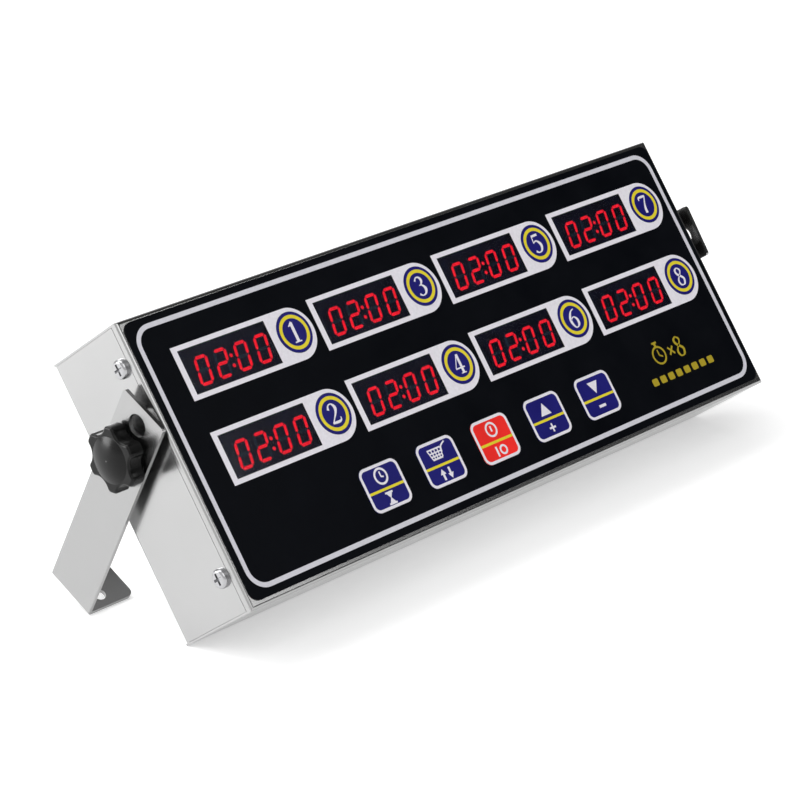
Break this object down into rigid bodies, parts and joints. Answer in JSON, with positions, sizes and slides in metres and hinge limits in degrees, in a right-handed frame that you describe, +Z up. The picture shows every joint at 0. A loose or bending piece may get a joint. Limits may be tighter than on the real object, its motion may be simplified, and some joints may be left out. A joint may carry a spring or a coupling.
{
  "type": "kitchen timer",
  "caption": "Multi-channel countdown timer in a brushed steel case with a key panel and LED displays, on two swinging bracket legs clamped by star knobs.",
  "frame": {"origin": "on the table that the timer stands on, below the middle of its bounding box", "axes": "+X to the user's right along the panel and the pivot axis, +Y away from the user, +Z up from the table; the panel leans back 33.2 degrees"},
  "size_m": [0.3166, 0.1233, 0.1145],
  "materials": {
    "case_steel": "fine brushed stainless sheet",
    "leg_steel": "fine brushed stainless sheet",
    "overlay_film": "satin black printed film",
    "window_film": "clear dark film",
    "led_module": "black faced display block",
    "key_blue": "printed film key, blue",
    "key_red": "printed film key, red",
    "circuit_board": "green solder mask",
    "switch_plastic": "black moulding",
    "zinc_steel": "zinc plated steel",
    "screw_steel": "bright stainless screw",
    "connector_plastic": "off-white moulding",
    "ribbon_pvc": "grey ribbon cable",
    "capacitor_sleeve": "dark sleeve",
    "heatsink_aluminium": "extruded aluminium",
    "core_iron": "varnished laminations",
    "coil_copper": "taped copper winding",
    "knob_plastic": "satin black moulding",
    "black_nylon": "black nylon",
    "seal_rubber": "black rubber"
  },
  "bodies": {
    "housing": {"board_screws": "zinc_steel", "board_standoffs": "zinc_steel", "buzzer": "black_nylon", "controller_chip": "switch_plastic", "display_windows": "window_film", "driver_chips": "switch_plastic", "filter_capacitor": "capacitor_sleeve", "front_cover": "case_steel", "gland_body": "black_nylon", "gland_cap": "black_nylon", "gland_nut": "black_nylon", "gland_seal": "seal_rubber", "graphic_overlay": "overlay_film", "lead_terminals": "connector_plastic", "led_display_1": "led_module", "led_display_2": "led_module", "led_display_3": "led_module", "led_display_4": "led_module", "led_display_5": "led_module", "led_display_6": "led_module", "led_display_7": "led_module", "led_display_8": "led_module", "left_bush": "black_nylon", "left_pivot_nut": "zinc_steel", "main_board": "circuit_board", "power_board": "circuit_board", "rear_case": "case_steel", "regulator_heatsink": "heatsink_aluminium", "ribbon_cable": "ribbon_pvc", "ribbon_connectors": "connector_plastic", "right_bush": "black_nylon", "right_pivot_nut": "zinc_steel", "side_screws": "screw_steel", "tact_switches": "switch_plastic", "transformer_coil": "coil_copper", "transformer_core": "core_iron", "transformer_frame": "zinc_steel", "transformer_screws": "zinc_steel", "voltage_regulator": "switch_plastic"},
    "left_leg": {"left_leg": "leg_steel"},
    "right_leg": {"right_leg": "leg_steel"},
    "left_clamp": {"left_washer": "zinc_steel"},
    "right_clamp": {"right_washer": "zinc_steel"},
    "left_knob": {"left_knob": "knob_plastic", "left_stud": "zinc_steel"},
    "right_knob": {"right_knob": "knob_plastic", "right_stud": "zinc_steel"},
    "key_1_cap": {"key_1": "key_blue"},
    "key_2_cap": {"key_2": "key_blue"},
    "key_3_cap": {"key_3": "key_blue"},
    "key_4_cap": {"key_4": "key_blue"},
    "key_5_cap": {"key_5": "key_blue"},
    "key_6_cap": {"key_6": "key_blue"},
    "key_7_cap": {"key_7": "key_blue"},
    "key_8_cap": {"key_8": "key_blue"},
    "key_time_cap": {"key_time": "key_blue"},
    "key_basket_cap": {"key_basket": "key_blue"},
    "key_power_cap": {"key_power": "key_red"},
    "key_up_cap": {"key_up": "key_blue"},
    "key_down_cap": {"key_down": "key_blue"}
  },
  "joints": [
    {"name": "left_leg_swing", "type": "hinge", "parent": "housing", "child": "left_leg", "pos_m": [-0.1482, -0.007, 0.06882], "axis": [1, 0, 0], "continuous": true},
    {"name": "left_clamp_travel", "type": "slide", "parent": "housing", "child": "left_clamp", "axis": [-1, 0, 0], "range_m": [0, 0.002]},
    {"name": "left_knob_turn", "type": "hinge", "parent": "left_clamp", "child": "left_knob", "pos_m": [-0.1482, -0.007, 0.06882], "axis": [-1, 0, 0], "range_deg": [0, 720]},
    {"name": "right_leg_swing", "type": "hinge", "parent": "housing", "child": "right_leg", "pos_m": [0.1482, -0.007, 0.06882], "axis": [1, 0, 0], "continuous": true},
    {"name": "right_clamp_travel", "type": "slide", "parent": "housing", "child": "right_clamp", "axis": [1, 0, 0], "range_m": [0, 0.002]},
    {"name": "right_knob_turn", "type": "hinge", "parent": "right_clamp", "child": "right_knob", "pos_m": [0.1482, -0.007, 0.06882], "axis": [1, 0, 0], "range_deg": [0, 720]},
    {"name": "key_1_press", "type": "slide", "parent": "housing", "child": "key_1_cap", "axis": [0, 0.8368, -0.5476], "range_m": [0, 0.0004], "stiffness_N_per_m": 3000},
    {"name": "key_2_press", "type": "slide", "parent": "housing", "child": "key_2_cap", "axis": [0, 0.8368, -0.5476], "range_m": [0, 0.0004], "stiffness_N_per_m": 3000},
    {"name": "key_3_press", "type": "slide", "parent": "housing", "child": "key_3_cap", "axis": [0, 0.8368, -0.5476], "range_m": [0, 0.0004], "stiffness_N_per_m": 3000},
    {"name": "key_4_press", "type": "slide", "parent": "housing", "child": "key_4_cap", "axis": [0, 0.8368, -0.5476], "range_m": [0, 0.0004], "stiffness_N_per_m": 3000},
    {"name": "key_5_press", "type": "slide", "parent": "housing", "child": "key_5_cap", "axis": [0, 0.8368, -0.5476], "range_m": [0, 0.0004], "stiffness_N_per_m": 3000},
    {"name": "key_6_press", "type": "slide", "parent": "housing", "child": "key_6_cap", "axis": [0, 0.8368, -0.5476], "range_m": [0, 0.0004], "stiffness_N_per_m": 3000},
    {"name": "key_7_press", "type": "slide", "parent": "housing", "child": "key_7_cap", "axis": [0, 0.8368, -0.5476], "range_m": [0, 0.0004], "stiffness_N_per_m": 3000},
    {"name": "key_8_press", "type": "slide", "parent": "housing", "child": "key_8_cap", "axis": [0, 0.8368, -0.5476], "range_m": [0, 0.0004], "stiffness_N_per_m": 3000},
    {"name": "key_time_press", "type": "slide", "parent": "housing", "child": "key_time_cap", "axis": [0, 0.8368, -0.5476], "range_m": [0, 0.0004], "stiffness_N_per_m": 3000},
    {"name": "key_basket_press", "type": "slide", "parent": "housing", "child": "key_basket_cap", "axis": [0, 0.8368, -0.5476], "range_m": [0, 0.0004], "stiffness_N_per_m": 3000},
    {"name": "key_power_press", "type": "slide", "parent": "housing", "child": "key_power_cap", "axis": [0, 0.8368, -0.5476], "range_m": [0, 0.0004], "stiffness_N_per_m": 3000},
    {"name": "key_up_press", "type": "slide", "parent": "housing", "child": "key_up_cap", "axis": [0, 0.8368, -0.5476], "range_m": [0, 0.0004], "stiffness_N_per_m": 3000},
    {"name": "key_down_press", "type": "slide", "parent": "housing", "child": "key_down_cap", "axis": [0, 0.8368, -0.5476], "range_m": [0, 0.0004], "stiffness_N_per_m": 3000}
  ],
  "couplings": [
    {"joint": "left_knob_turn", "follows": "left_clamp_travel", "rad_per_m": 6283.2},
    {"joint": "right_knob_turn", "follows": "right_clamp_travel", "rad_per_m": 6283.2}
  ]
}
